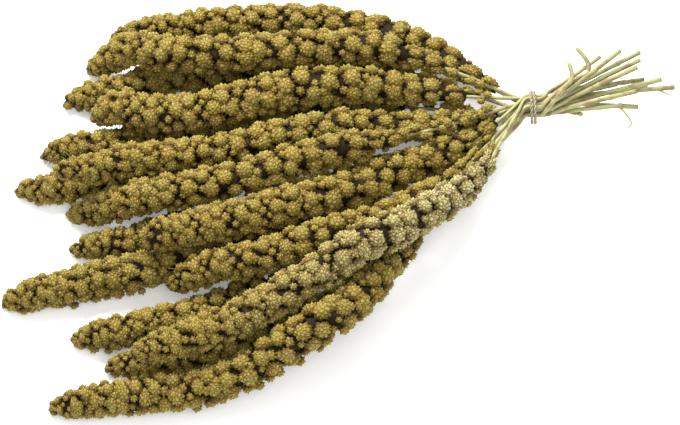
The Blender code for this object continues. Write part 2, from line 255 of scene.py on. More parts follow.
def starting_places(at):
    """Rough routes of all the sprays on the leaning plane, before they are pushed apart."""
    count = len(SPRAYS)
    up = np.zeros((count, len(at)))
    height = np.zeros((count, len(at)))
    radius = np.zeros((count, len(at)))
    in_head = np.zeros((count, len(at)), bool)
    present = np.zeros((count, len(at)), bool)
    tie = np.array([TIE_HEIGHT * RISE, TIE_HEIGHT * LEAN])
    for i, (layer, girth, route, end, _) in enumerate(SPRAYS):
        tip, neck, cut = route[0][0] / 1000, route[-1][0] / 1000, end[0] / 1000
        in_head[i] = at <= neck
        present[i] = (at >= tip - SLICE / 2) & (at <= cut + SLICE)
        along = np.clip((neck - at) / (neck - tip), 0, 1)
        radius[i] = np.where(in_head[i], head_radius(girth / 1000, along), stem_radius(at, neck))
        up[i] = smooth_route(route, at) + tie[0]
        height[i] = (girth / 1000 + layer * LAYER_RISE - up[i] * RISE) / LEAN
    necks = [int(np.argmin(abs(at - s[2][-1][0] / 1000))) for s in SPRAYS]
    rank = np.argsort(np.argsort([up[i, k] for i, k in enumerate(necks)])) / (count - 1)
    wanted = np.stack([[(s[0] - 1) * 0.007 for s in SPRAYS], 0.007 - 0.014 * rank], 1)
    slots = nearest_slots(wanted, tie_slots(count))
    for i, (_, _, route, end, _) in enumerate(SPRAYS):
        neck, cut, lift = route[-1][0] / 1000, end[0] / 1000, end[1] / 1000
        into = (at > neck) & (at < 0)
        t = (at[into] - neck) / -neck
        t = t * t * (3 - 2 * t)
        up[i, into] = up[i, necks[i]] * (1 - t) + (tie[0] + slots[i, 0]) * t
        height[i, into] = height[i, necks[i]] * (1 - t) + (tie[1] + slots[i, 1]) * t
        out = at >= 0
        t = at[out] / cut
        steep = 1 + max(0, abs(lift) / cut - 0.5)
        up[i, out] = tie[0] + slots[i, 0] * (1 - t) + lift * t**steep
        height[i, out] = tie[1] + slots[i, 1] * (1 - t) - slots[i, 0] * 1.6 * t
    slot_y = slots[:, 0] * LEAN - slots[:, 1] * RISE
    slot_z = TIE_HEIGHT + slots[:, 0] * RISE + slots[:, 1] * LEAN
    return up, height, radius, in_head, present, slot_y, slot_z


def bend_evenly(line, present, strength):
    """Pulls each point of each spray towards the middle of its two neighbours."""
    hollow_shade = present.copy()
    hollow_shade[:, 1:] &= present[:, :-1]
    hollow_shade[:, :-1] &= present[:, 1:]
    hollow_shade[:, [0, -1]] = False
    pull = np.zeros_like(line)
    pull[:, 1:-1] = (line[:, 2:] + line[:, :-2]) / 2 - line[:, 1:-1]
    return line + np.where(hollow_shade, pull, 0) * strength


def push_apart(y, z, radius, room, together):
    """Moves sprays that are too close away from each other, across their own slant."""
    dy = y[:, None] - y[None]
    dz = z[:, None] - z[None]
    slope_y = np.gradient(y, SLICE, axis=1)
    slope_z = np.gradient(z, SLICE, axis=1)
    mean_y = np.clip((slope_y[:, None] + slope_y[None]) / 2, -STEEPEST, STEEPEST)
    mean_z = np.clip((slope_z[:, None] + slope_z[None]) / 2, -STEEPEST, STEEPEST)
    slide = (dy * mean_y + dz * mean_z) ** 2 / (1 + mean_y**2 + mean_z**2)
    plain = np.sqrt(dy**2 + dz**2) + 1e-12
    true = np.sqrt(np.maximum(plain**2 - slide, (0.4 * plain) ** 2))
    need = np.where(together, np.clip(room - true, 0, FARTHEST_PUSH), 0) / true * 0.3
    y = y + np.sum(need * dy, axis=1)
    z = z + np.sum(need * dz, axis=1)
    return y, np.maximum(z, radius)


def lay_sprays():
    """Centre lines of all the sprays: the slices along X, and Y and Z of each spray in them."""
    at = FIRST_SLICE + SLICE * np.arange(SLICE_COUNT)
    up, height, radius, in_head, present, slot_y, slot_z = starting_places(at)
    y = up * LEAN - height * RISE
    z = up * RISE + height * LEAN
    held = np.abs(at) <= SLICE * 1.01
    apart = ~np.eye(len(SPRAYS), dtype=bool)[:, :, None]
    together = present[:, None] & present[None] & apart
    both_thin = ~in_head[:, None] & ~in_head[None]
    room = radius[:, None] + radius[None] + np.where(both_thin, STEM_GAP, HEAD_GAP)
    for turn in range(LAYING_ROUNDS):
        settling = turn < LAYING_ROUNDS * 0.7
        stiffness = 0.75 if settling else 0.2 if turn < LAYING_ROUNDS * 0.9 else 0.04
        y = bend_evenly(y, present, stiffness)
        z = bend_evenly(z, present, stiffness)
        pull = np.where(at < 0, np.where(in_head, 0.06, 0.01), 0.02) * (1 if settling else 0.2)
        off = (up - (y * LEAN + z * RISE)) * pull
        y = y + off * LEAN
        z = z + off * RISE
        if settling:
            z = z - in_head * 0.00012
        for _ in range(3):
            y, z = push_apart(y, z, radius, room, together)
            y[:, held] = slot_y[:, None]
            z[:, held] = slot_z[:, None]
    return at, y, z


def lengths_along(points):
    """Distance of each point of a line from its first point, along the line."""
    return np.concatenate([[0], np.cumsum(np.linalg.norm(np.diff(points, axis=0), axis=1))])


def resample(points, spacing):
    """Points at even steps along a line of points, with both of its ends kept."""
    lengths = lengths_along(points)
    steps = max(2, round(lengths[-1] / spacing))
    wanted = np.linspace(0, lengths[-1], steps + 1)
    return np.stack([np.interp(wanted, lengths, points[:, k]) for k in range(3)], 1), wanted


def rounded(points, spacing):
    """A smooth line through the points, with points at about this spacing."""
    ghost = np.array([2 * points[0] - points[1], *points, 2 * points[-1] - points[-2]])
    line = [points[0]]
    for a, b, c, d in zip(ghost, ghost[1:], ghost[2:], ghost[3:]):
        steps = max(1, round(np.linalg.norm(c - b) / spacing))
        for k in range(1, steps + 1):
            t = k / steps
            line.append(
                0.5 * (2 * b + (c - a) * t + (2 * a - 5 * b + 4 * c - d) * t**2
                       + (3 * b - a - 3 * c + d) * t**3)
            )
    return np.array(line)


def frames_along(points):
    """The direction ahead and two cross directions at each point of a line."""
    ahead = np.gradient(points, axis=0)
    ahead /= np.linalg.norm(ahead, axis=1)[:, None]
    side = np.cross(np.array([0.0, 0.0, 1.0]), ahead)
    side /= np.linalg.norm(side, axis=1)[:, None]
    return ahead, side, np.cross(ahead, side)


def bent_end(bends, height):
    """Points of a stem's bent end, at the depth where its straight part stops."""
    points = []
    for right, lift in bends:
        up = lift / 1000 + TIE_HEIGHT * RISE
        points.append((right / 1000, up * LEAN - height * RISE, up * RISE + height * LEAN))
    return points


def spray_lines():
    """For each spray: its whole line, its head's line from the neck to the tip, and its stem's."""
    at, y, z = lay_sprays()
    found = []
    for i, (_, _, route, end, bends) in enumerate(SPRAYS):
        tip, neck, cut = route[0][0] / 1000, route[-1][0] / 1000, end[0] / 1000
        between = at[(at > tip + SLICE / 2) & (at < cut - SLICE / 2)]
        x = np.concatenate([[tip], between, [cut]])
        line = np.stack([x, np.interp(x, at, y[i]), np.interp(x, at, z[i])], 1)
        height = line[-1, 2] * LEAN - line[-1, 1] * RISE
        line = np.array([*line, *bent_end(bends, height)])
        fine, lengths = resample(line, 0.001)
        joint = int(np.argmin(abs(fine[:, 0] - neck)))
        start = int(np.argmin(abs(lengths - lengths[joint] + SOCKET_DEPTH)))
        stem = np.array([fine[start], fine[joint], *line[line[:, 0] > neck + SLICE / 4]])
        found.append((line, fine[joint::-1], stem))
    return found


LINES = spray_lines()


class MilletHeadLook(bpy.types.PropertyGroup):
    """Sizes and colours of the seed heads."""

    seeds_on_cluster: bpy.props.IntProperty(
        name="Seeds on a cluster", description="Seeds that show on one large cluster",
        default=54, min=12, max=90)
    seed_relief: bpy.props.FloatProperty(
        name="Seed relief", description="How deep the dents between seeds are, as a share of a cluster",
        default=0.22, min=0.02, max=0.4, subtype="FACTOR")
    side_clusters: bpy.props.FloatProperty(
        name="Small clusters", description="Share of the valleys that hold a small cluster",
        default=1.0, min=0, max=1, subtype="FACTOR")
    seed_colour: bpy.props.FloatVectorProperty(
        name="Seed colour", description="Straw gold of a ripe seed's husk",
        default=(0.31, 0.257, 0.048), min=0, max=1, subtype="COLOR")
    green_colour: bpy.props.FloatVectorProperty(
        name="Greenish seeds", description="Husks that dried early",
        default=(0.29, 0.276, 0.072), min=0, max=1, subtype="COLOR")
    # Real rusty seeds and specks; this colour also paints shade in the seams between seeds and deep in a head
    rust_and_shade_colour: bpy.props.FloatVectorProperty(
        name="Rusty seeds", description="Husks gone brown",
        default=(0.17, 0.085, 0.012), min=0, max=1, subtype="COLOR")
    # Painted shade: near black laid on seeds deep towards a head's middle and on its core, where shade falls
    # between the clusters
    crevice_shade_colour: bpy.props.FloatVectorProperty(
        name="Crevices", description="Dry bristles and husk deep between the clusters",
        default=(0.014, 0.008, 0.002), min=0, max=1, subtype="COLOR")
    # Real colour of the palest head's seeds; a share of it also paints highlight flecks on every head
    pale_and_highlight_colour: bpy.props.FloatVectorProperty(
        name="Pale seeds", description="Seeds of the palest head near its neck",
        default=(0.53, 0.52, 0.275), min=0, max=1, subtype="COLOR")


class MilletStemLook(bpy.types.PropertyGroup):
    """Sizes and colours of the stems."""

    ridges: bpy.props.IntProperty(
        name="Ridges", description="Fine ridges round a stem", default=7, min=3, max=16)
    straw_colour: bpy.props.FloatVectorProperty(
        name="Straw", description="Dry stem colour",
        default=(0.33, 0.322, 0.14), min=0, max=1, subtype="COLOR")
    green_straw_colour: bpy.props.FloatVectorProperty(
        name="Green straw", description="Colour of a stem towards its cut end",
        default=(0.238, 0.246, 0.088), min=0, max=1, subtype="COLOR")
    # Real stains; half of this colour also paints shade inside the hollow cut ends
    stain_and_hollow_shade_colour: bpy.props.FloatVectorProperty(
        name="Brown straw", description="Stains on the stems",
        default=(0.17, 0.10, 0.035), min=0, max=1, subtype="COLOR")


class MilletTwineLook(bpy.types.PropertyGroup):
    """Sizes and colours of the twine."""

    twist_length: bpy.props.FloatProperty(
        name="Twist length", description="Length of one turn of the two strands round each other",
        default=0.0062, min=0.003, max=0.02, unit="LENGTH")
    strand_colour: bpy.props.FloatVectorProperty(
        name="Strand colour", description="Undyed plant fibre",
        default=(0.38, 0.32, 0.21), min=0, max=1, subtype="COLOR")


class MilletStageLook(bpy.types.PropertyGroup):
    """Floor, light and camera."""

    floor_colour: bpy.props.FloatVectorProperty(
        name="Floor colour", description="Plain white sheet",
        default=(0.95, 0.95, 0.95), min=0, max=1, subtype="COLOR")
    # Painted light: the sheet glows of itself, with no lamp under it, so shadows on it wash out
    floor_glow: bpy.props.FloatProperty(
        name="Floor glow", description="Light from below through the white sheet", default=0.21, min=0)
    key_power: bpy.props.FloatProperty(
        name="Key light", description="Power of the soft light behind the bunch",
        default=54.0, min=0, unit="POWER")
    fill_power: bpy.props.FloatProperty(
        name="Fill light", description="Power of the soft light over the camera",
        default=18.0, min=0, unit="POWER")
    sky_strength: bpy.props.FloatProperty(
        name="Surround", description="Strength of the even white light all round", default=0.7, min=0)


def look_group(name, inputs, outputs):
    """An empty shader node group with named sockets."""
    group = bpy.data.node_groups.new(name, "ShaderNodeTree")
    for label, kind, value in inputs:
        socket = group.interface.new_socket(label, in_out="INPUT", socket_type=kind)
        if value is not None:
            socket.default_value = value
    for label, kind in outputs:
        group.interface.new_socket(label, in_out="OUTPUT", socket_type=kind)
    start = group.nodes.new("NodeGroupInput")
    end = group.nodes.new("NodeGroupOutput")
    return group, start, end


def speckle_group():
    """Fine uneven grain: a mask of specks and a height, in the coordinates that it is given."""
    if "fine_speckle" in bpy.data.node_groups:
        return bpy.data.node_groups["fine_speckle"]
    group, start, end = look_group(
        "fine_speckle",
        [("Place", "NodeSocketVector", None), ("Scale", "NodeSocketFloat", 900.0),
         ("Detail", "NodeSocketFloat", 4.0), ("Contrast", "NodeSocketFloat", 0.25)],
        [("Mask", "NodeSocketFloat"), ("Height", "NodeSocketFloat")],
    )
    noise = group.nodes.new("ShaderNodeTexNoise")
    spread = group.nodes.new("ShaderNodeMapRange")
    low = group.nodes.new("ShaderNodeMath")
    high = group.nodes.new("ShaderNodeMath")
    low.operation = "SUBTRACT"
    high.operation = "ADD"
    low.inputs[0].default_value = 0.5
    high.inputs[0].default_value = 0.5
    link = group.links.new
    link(start.outputs["Place"], noise.inputs["Vector"])
    link(start.outputs["Scale"], noise.inputs["Scale"])
    link(start.outputs["Detail"], noise.inputs["Detail"])
    link(start.outputs["Contrast"], low.inputs[1])
    link(start.outputs["Contrast"], high.inputs[1])
    link(noise.outputs["Fac"], spread.inputs["Value"])
    link(low.outputs[0], spread.inputs["From Min"])
    link(high.outputs[0], spread.inputs["From Max"])
    link(spread.outputs["Result"], end.inputs["Mask"])
    link(noise.outputs["Fac"], end.inputs["Height"])
    return group


def new_material(name, roughness):
    """A material with a Principled shader, and its node tree."""
    material = bpy.data.materials.new(name)
    material.use_nodes = True
    tree = material.node_tree
    shader = tree.nodes["Principled BSDF"]
    shader.inputs["Roughness"].default_value = roughness
    return material, tree, shader


def speckle(tree, place, scale, detail, contrast):
    """The fine speckle group placed in a material."""
    node = tree.nodes.new("ShaderNodeGroup")
    node.node_tree = speckle_group()
    tree.links.new(place, node.inputs["Place"])
    for label, value in (("Scale", scale), ("Detail", detail), ("Contrast", contrast)):
        node.inputs[label].default_value = value
    return node


def blended(tree, factor, first, second):
    """A colour mix of two sockets or plain colours."""
    mix = tree.nodes.new("ShaderNodeMix")
    mix.data_type = "RGBA"
    for label, value in (("Factor", factor), ("A", first), ("B", second)):
        socket = mix.inputs[label]
        if isinstance(value, bpy.types.NodeSocket):
            tree.links.new(value, socket)
        else:
            socket.default_value = value if isinstance(value, float) else (*value, 1)
    return mix.outputs["Result"]


def stretched(tree, value, low, high, bottom=0.0, top=1.0):
    """A value spread from one range to another."""
    node = tree.nodes.new("ShaderNodeMapRange")
    tree.links.new(value, node.inputs["Value"])
    for label, limit in (("From Min", low), ("From Max", high), ("To Min", bottom), ("To Max", top)):
        node.inputs[label].default_value = limit
    return node.outputs["Result"]


def layered(tree, colour, value, spread, top, share=1.0):
    """A colour, or a darker share of it, laid over another one where a spread value is high."""
    return blended(tree, stretched(tree, value, *spread), colour, [share * c for c in top])


def tone_channels(tree, attribute):
    """The three channels of a colour stored on the mesh."""
    stored = tree.nodes.new("ShaderNodeAttribute")
    stored.attribute_name = attribute
    split = tree.nodes.new("ShaderNodeSeparateColor")
    tree.links.new(stored.outputs["Color"], split.inputs["Color"])
    return split.outputs


def bumped(tree, shader, height, strength, distance):
    """A bump of the given depth on the shader."""
    bump = tree.nodes.new("ShaderNodeBump")
    bump.inputs["Strength"].default_value = strength
    bump.inputs["Distance"].default_value = distance
    tree.links.new(height, bump.inputs["Height"])
    tree.links.new(bump.outputs["Normal"], shader.inputs["Normal"])


def seed_material(name, look, pale_near_neck):
    """Husked seeds: each seed has its own tint, and painted shade darkens the gaps between seeds and
    clusters.
    """
    material, tree, shader = new_material(name, 0.75)
    shader.inputs["Specular IOR Level"].default_value = 0.12
    tint, peak, depth = tone_channels(tree, "seed_tone")
    place = tree.nodes.new("ShaderNodeTexCoord").outputs["Object"]
    patches = speckle(tree, place, 55.0, 2.0, 0.16)
    husk = speckle(tree, place, 1500.0, 3.0, 0.3)
    specks = speckle(tree, place, 950.0, 1.0, 0.14)
    colour = layered(tree, look.seed_colour, tint, (0.55, 0.9), look.green_colour)
    if pale_near_neck:
        across = tree.nodes.new("ShaderNodeSeparateXYZ")
        tree.links.new(place, across.inputs["Vector"])
        colour = layered(tree, colour, across.outputs["X"], (PALE_FROM, PALE_TO), look.pale_and_highlight_colour)
    colour = layered(tree, colour, tint, (0.16, 0.0), look.rust_and_shade_colour)
    colour = layered(tree, colour, patches.outputs["Mask"], (0.0, 1.0, 0.0, 0.35), look.green_colour, 0.8)
    # Painted highlight: pale flecks spread at random over the seeds
    colour = layered(tree, colour, husk.outputs["Mask"], (0.5, 1.0, 0.0, 0.5), look.pale_and_highlight_colour, 0.75)
    colour = layered(tree, colour, specks.outputs["Mask"], (0.6, 0.95, 0.0, 0.85), look.rust_and_shade_colour, 0.7)
    # Painted shade: the seams between seeds darkened towards rust brown
    colour = layered(tree, colour, peak, (0.0, 0.45, 0.72, 0.0), look.rust_and_shade_colour, 0.6)
    # Painted shade: seeds turn browner deeper towards the head's middle
    colour = layered(tree, colour, depth, (0.96, 0.80, 0.0, 0.55), look.rust_and_shade_colour)
    # Painted shade: near black, deepest towards the head's middle
    colour = layered(tree, colour, depth, (0.91, 0.62), look.crevice_shade_colour)
    tree.links.new(colour, shader.inputs["Base Color"])
    tree.links.new(stretched(tree, husk.outputs["Mask"], 0.0, 1.0, 0.55, 0.8), shader.inputs["Roughness"])
    bumped(tree, shader, husk.outputs["Height"], 0.35, 0.0003)
    return material


def long_fibres(tree, squeeze, scale, contrast):
    """Specks drawn out along a stem or strand, and the straight place they are made from."""
    stored = tree.nodes.new("ShaderNodeAttribute")
    stored.attribute_name = "straight_place"
    flat = tree.nodes.new("ShaderNodeMapping")
    flat.inputs["Scale"].default_value = (1, 1, squeeze)
    tree.links.new(stored.outputs["Vector"], flat.inputs["Vector"])
    return speckle(tree, flat.outputs["Vector"], scale, 3.0, contrast), stored.outputs["Vector"]


def straw_material(name, look):
    """Dry stem: long fibres, brown stains, and greener towards the cut end."""
    material, tree, shader = new_material(name, 0.5)
    tint, along, hollow_shade = tone_channels(tree, "straw_tone")
    fibres, place = long_fibres(tree, 0.05, 2600.0, 0.25)
    stains = speckle(tree, place, 130.0, 4.0, 0.12)
    colour = layered(tree, look.straw_colour, along, (0.35, 1.0, 0.0, 0.8), look.green_straw_colour)
    colour = layered(tree, colour, tint, (0.0, 1.0, 0.0, 0.45), look.green_straw_colour)
    colour = layered(tree, colour, fibres.outputs["Mask"], (0.3, 1.0, 0.0, 0.35), look.straw_colour, 0.6)
    colour = layered(tree, colour, stains.outputs["Mask"], (0.45, 0.95, 0.0, 0.75), look.stain_and_hollow_shade_colour)
    # Painted shade: the inside of the hollow cut end darkens towards half the stain colour
    colour = blended(tree, hollow_shade, colour, tuple(0.5 * c for c in look.stain_and_hollow_shade_colour))
    tree.links.new(colour, shader.inputs["Base Color"])
    tree.links.new(stretched(tree, fibres.outputs["Mask"], 0.0, 1.0, 0.42, 0.66), shader.inputs["Roughness"])
    bumped(tree, shader, fibres.outputs["Height"], 0.4, 0.0003)
    return material


def twine_material(look):
    """Plant fibre twine: fine hairs along each strand, and painted shade between the strands."""
    material, tree, shader = new_material("twine_fibre", 0.85)
    tint, outside, _ = tone_channels(tree, "straw_tone")
    fibres, _ = long_fibres(tree, 0.12, 3400.0, 0.22)
    strand = look.strand_colour
    colour = layered(tree, strand, fibres.outputs["Mask"], (0.0, 1.0, 0.0, 0.6), strand, 0.55)
    colour = layered(tree, colour, tint, (0.0, 1.0, 0.0, 0.3), PALE_FIBRE)
    # Painted shade where a strand faces the other strand
    colour = layered(tree, colour, outside, (0.5, 0.0, 0.0, 0.8), TWINE_SHADOW)
    tree.links.new(colour, shader.inputs["Base Color"])
    bumped(tree, shader, fibres.outputs["Height"], 0.6, 0.0003)
    return material


class ClusterShape:
    """One round clump of seeds: points on a ball of radius 1 that faces +Z, with a coarse back."""

    def __init__(self, seeds, relief, chance):
        golden = math.pi * (3 - math.sqrt(5))
        points = []
        for k in range(seeds):
            level = 1 - (k + 0.5 + chance.uniform(-0.4, 0.4)) / seeds * 1.2
            across = math.sqrt(1 - level**2)
            angle = golden * k + chance.uniform(-0.13, 0.13) / max(across, 0.3)
            reach = chance.uniform(0.88, 1.06)
            points.append(Vector((across * math.cos(angle), across * math.sin(angle), level)) * reach)
        for k in range(4):
            angle = 2 * math.pi * (k + chance.random()) / 4
            points.append(Vector((0.75 * math.cos(angle), 0.75 * math.sin(angle), -0.62)))
        ball = bmesh.new()
        for point in points:
            ball.verts.new(point)
        bmesh.ops.convex_hull(ball, input=ball.verts)
        bmesh.ops.delete(ball, geom=[v for v in ball.verts if not v.link_faces], context="VERTS")
        ball.verts.index_update()
        peaks = [v.co.copy() for v in ball.verts]
        valley_of = {}
        valleys = []
        for face in ball.faces:
            valley_of[face] = len(peaks) + len(valleys)
            middle = face.calc_center_median()
            dent = relief if middle.z > -0.45 else 0.0
            valleys.append(middle.normalized() * min(1.0, middle.length * 1.06) * (1 - dent))
        corners = []
        for edge in ball.edges:
            first, second = edge.link_faces
            for vertex in edge.verts:
                loop = next(corner for corner in first.loops if corner.vert == vertex)
                around = [valley_of[first], valley_of[second]]
                if loop.edge == edge:
                    around.reverse()
                corners.append((vertex.index, *around))
        ball.free()
        self.points = np.array([v[:] for v in peaks + valleys])
        self.corners = np.array(corners)
        self.is_peak = np.arange(len(self.points)) < len(peaks)
        self.tint = np.array([chance.random() for _ in self.points])


def new_object(name, data, place=(0, 0, 0), target=None):
    """A mesh, light or camera in the scene, at a place and turned towards a target."""
    thing = bpy.data.objects.new(name, data)
    thing.location = place
    if target is not None:
        thing.rotation_euler = (Vector(target) - Vector(place)).to_track_quat("-Z", "Y").to_euler()
    bpy.context.collection.objects.link(thing)
    return thing


class MeshParts:
    """Points, triangles and tones gathered from many small shapes into one mesh."""

    def __init__(self):
        self.points = []
        self.corners = []
        self.tones = []
        self.sharp = []
        self.count = 0

    def add(self, points, corners, tones, hard_points=None):
        self.points.append(points)
        self.corners.append(corners + self.count)
        self.tones.append(tones)
        self.sharp.append(np.zeros(len(points), bool) if hard_points is None else hard_points)
        self.count += len(points)

    def to_piece(self, name, attribute, material, replaced, straight=None):
        """One object of all the parts, shaded smooth inside each seed, riding on the whole."""
        points = np.concatenate(self.points) + CENTRING
        points = np.clip(points, np.array(CAD_LOW) + 0.00002, np.array(CAD_HIGH) - 0.00002)
        corners = np.concatenate(self.corners).astype(np.int32)
        mesh = bpy.data.meshes.new(name)
        mesh.vertices.add(len(points))
        mesh.vertices.foreach_set("co", points.astype(np.float32).ravel())
        mesh.loops.add(len(corners) * 3)
        mesh.loops.foreach_set("vertex_index", corners.ravel())
        mesh.polygons.add(len(corners))
        mesh.polygons.foreach_set("loop_start", np.arange(0, len(corners) * 3, 3, dtype=np.int32))
        mesh.update(calc_edges=True)
        mesh.validate()
        tones = np.concatenate(self.tones)
        tones = np.column_stack([tones, np.ones(len(tones))])
        stored = mesh.color_attributes.new(attribute, "FLOAT_COLOR", "POINT")
        stored.data.foreach_set("color", tones.astype(np.float32).ravel())
        if straight is not None:
            place = mesh.attributes.new("straight_place", "FLOAT_VECTOR", "POINT")
            place.data.foreach_set("vector", np.concatenate(straight).astype(np.float32).ravel())
        mesh.shade_smooth()
        hard = np.concatenate(self.sharp)
        ends = np.empty(len(mesh.edges) * 2, dtype=np.int32)
        mesh.edges.foreach_get("vertices", ends)
        crease = hard[ends.reshape(-1, 2)].all(axis=1)
        creases = mesh.attributes.new("sharp_edge", "BOOLEAN", "EDGE")
        creases.data.foreach_set("value", crease)
        mesh.materials.append(material)
        piece = new_object(name, mesh)
        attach(piece, "root")
        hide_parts(replaced)


def ring_corners(rows, sides, order):
    """Triangles between the rings of a tube: the corners of each square, taken in this order."""
    ring = np.arange((rows - 1) * sides).reshape(-1, sides)
    beside = np.roll(ring, -1, axis=1)
    squares = np.stack([ring, beside, ring + sides, beside + sides], 2).reshape(-1, 4)
    return squares[:, order].reshape(-1, 3)


def tube_shape(points, radii, sides, ridge=0.0, ridges=0):
    """A ridged tube along a line, closed at both ends: its points, triangles and straight places."""
    _, side, over = frames_along(points)
    angles = 2 * math.pi * np.arange(sides) / sides
    ripple = 1 + ridge * np.cos(ridges * angles)
    out = side[:, None] * np.cos(angles)[None, :, None] + over[:, None] * np.sin(angles)[None, :, None]
    skin = points[:, None] + out * (np.asarray(radii)[:, None] * ripple[None])[:, :, None]
    lengths = lengths_along(points)
    straight = np.stack([
        np.asarray(radii)[:, None] * np.cos(angles)[None],
        np.asarray(radii)[:, None] * np.sin(angles)[None],
        np.repeat(lengths[:, None], sides, 1)], 2)
    first, last = len(points) * sides, len(points) * sides + 1
    caps = []
    for k in range(sides):
        after = (k + 1) % sides
        caps += [(first, after, k), (last, first - sides + k, first - sides + after)]
    corners = np.concatenate([ring_corners(len(points), sides, (0, 1, 3, 0, 3, 2)), caps])
    flat = np.concatenate([skin.reshape(-1, 3), points[:1], points[-1:]])
    places = np.concatenate([straight.reshape(-1, 3), [[0, 0, 0], [0, 0, lengths[-1]]]])
    return flat, corners, places


def cluster_rows(total):
    """Distances from the neck of the rows of seed clusters: wide at the neck, close at the tip."""
    rows = []
    place = SOCKET_DEPTH * 0.9
    while place < total - 0.002:
        rows.append(place)
        pitch = np.interp(place / total, [0, 0.5, 0.8, 1], [1.05, 0.95, 0.72, 0.4])
        place += CLUSTER_PITCH * pitch
    return rows


def place_cluster(parts, shape, middle, directions, sizes, spin, tint, axis_point, girth):
    """One clump of seeds turned, stretched and set in place, with its tones worked out."""
    turn = np.array([[math.cos(spin), -math.sin(spin), 0], [math.sin(spin), math.cos(spin), 0], [0, 0, 1]])
    local = shape.points @ turn.T * np.array(sizes)
    world = middle + local @ np.array(directions)
    # Distance from the head's middle, which the seed material turns into painted shade deep in the head
    depth = np.linalg.norm(world - axis_point, axis=1) / girth
    tones = np.stack([
        np.clip(0.55 * tint + 0.45 * shape.tint, 0, 1),
        shape.is_peak.astype(float),
        np.clip(depth, 0, 1)], 1)
    parts.add(world, shape.corners, tones, ~shape.is_peak)


class HeadLine:
    """The middle line of one head, round which clumps of seeds are placed."""

    def __init__(self, parts, line, girth, looks):
        self.parts = parts
        self.girth = girth
        self.looks = looks
        self.line, self.lengths = resample(line, 0.004)
        self.total = self.lengths[-1]
        self.ahead, self.side, self.over = frames_along(self.line)

    def at(self, table, spot):
        """A place or direction of the line at a distance from the neck."""
        return np.array([np.interp(spot, self.lengths, table[:, c]) for c in range(3)])

    def place(self, shape, spot, angle, radius, sizes, tint):
        """One clump at a distance from the neck, turned round the line by an angle."""
        ahead, side, over = self.at(self.ahead, spot), self.at(self.side, spot), self.at(self.over, spot)
        out = side * math.cos(angle) + over * math.sin(angle)
        axis_point = self.at(self.line, spot)
        place_cluster(self.parts, shape, axis_point + out * (radius - sizes[2]),
                      (np.cross(out, ahead), ahead, out), sizes, self.looks.uniform(0, 6.28), tint,
                      axis_point, radius)


def cluster_grid(rows, total, girth, draw):
    """Distance from the neck, angle and radius of every large clump, in the solid head's rows."""
    grid = []
    for number, place in enumerate(rows):
        shift = 0.5 * (number % 2) + draw.uniform(-0.08, 0.08)
        row = []
        for k in range(CLUSTERS_AROUND):
            angle = 2 * math.pi * (k + shift + draw.uniform(-0.17, 0.17)) / CLUSTERS_AROUND
            spot = place + draw.uniform(-0.22, 0.22) * CLUSTER_PITCH
            spot = min(max(spot, SOCKET_DEPTH * 0.5), total - 0.001)
            radius = float(head_radius(girth, spot / total)) * draw.uniform(0.92, 1.0)
            row.append((spot, angle, radius))
        grid.append(row)
    return grid


def add_large_clusters(head, rows, grid, shapes, middle_shapes):
    """A clump in place of every cluster of the solid head, smaller at the neck and the tip."""
    looks = head.looks
    for number, row in enumerate(grid):
        before = rows[max(number - 1, 0)]
        after = rows[number + 1] if number + 1 < len(rows) else head.total
        pitch = (after - before) / (2 if 0 < number else 1)
        for spot, angle, radius in row:
            least, reach = (np.interp(spot / head.total, [0, 0.1, 0.3, 0.8, 1], table)
                            for table in ((4.4, 4.8, 4.6, 3.6, 2.6), (6.8, 9.0, 0, 0, 0)))
            radius = max(radius, reach / 1000)
            wide = min(WIDEST_CLUMP, max(least / 1000, 0.5 * 2 * math.pi * radius / CLUSTERS_AROUND))
            long = min(WIDEST_CLUMP, max(least / 1000, 0.52 * pitch))
            high = min(HIGHEST_CLUMP, max(least / 1000, 0.46 * radius))
            grow = looks.uniform(0.82, 1.08)
            sizes = (wide * grow * looks.uniform(0.92, 1.08), long * grow, high * grow)
            kind = shapes if wide > LARGE_CLUMP_FROM else middle_shapes
            head.place(looks.choice(kind), spot, angle, radius, sizes, looks.random())


def add_valley_clusters(head, grid, small_shapes, share):
    """Small clumps between each three large ones."""
    looks = head.looks
    for low, high in zip(grid, grid[1:]):
        for k in range(CLUSTERS_AROUND):
            for trio in ((low[k], low[(k + 1) % CLUSTERS_AROUND], high[k]), (low[k], high[k - 1], high[k])):
                spot = sum(t[0] for t in trio) / 3
                if looks.random() > share * np.interp(spot / head.total, [0, 0.4, 0.7], [0.5, 0.6, 1]):
                    continue
                angle = math.atan2(sum(math.sin(t[1]) for t in trio), sum(math.cos(t[1]) for t in trio))
                radius = sum(t[2] for t in trio) / 3 * looks.uniform(0.8, 0.98)
                size = min(WIDEST_VALLEY_CLUMP, max(0.002, 0.34 * radius)) * looks.uniform(0.7, 1.1)
                head.place(looks.choice(small_shapes), spot, angle, radius, (size,) * 3, looks.random())


def add_loose_clusters(head, small_shapes):
    """Small clumps that stand out at both sides of the head, where the solids' box has room."""
    looks = head.looks
    spot = 0.012
    while spot < head.total - 0.012:
        for half_turn in (0, math.pi):
            spread = head_radius(head.girth, spot / head.total) * looks.uniform(1.0, 1.14)
            size = looks.uniform(0.003, 0.0043)
            low = looks.uniform(-0.05, 0.75) * (1 if half_turn else -1)
            out = (head.at(head.side, spot) * math.cos(half_turn)
                   + head.at(head.over, spot) * math.sin(low + half_turn))
            edge = head.at(head.line, spot) + out * spread
            if in_box(edge) and looks.random() < LOOSE_SHARE:
                head.place(looks.choice(small_shapes), spot, low + half_turn, spread,
                           (size, size * 1.15, size), looks.random())
        spot += looks.uniform(0.006, 0.009)


def in_box(point):
    """Whether a point, as it is laid out round the tie, is inside the solids' box."""
    placed = point + CENTRING
    return (placed > np.array(CAD_LOW)).all() and (placed < np.array(CAD_HIGH)).all()


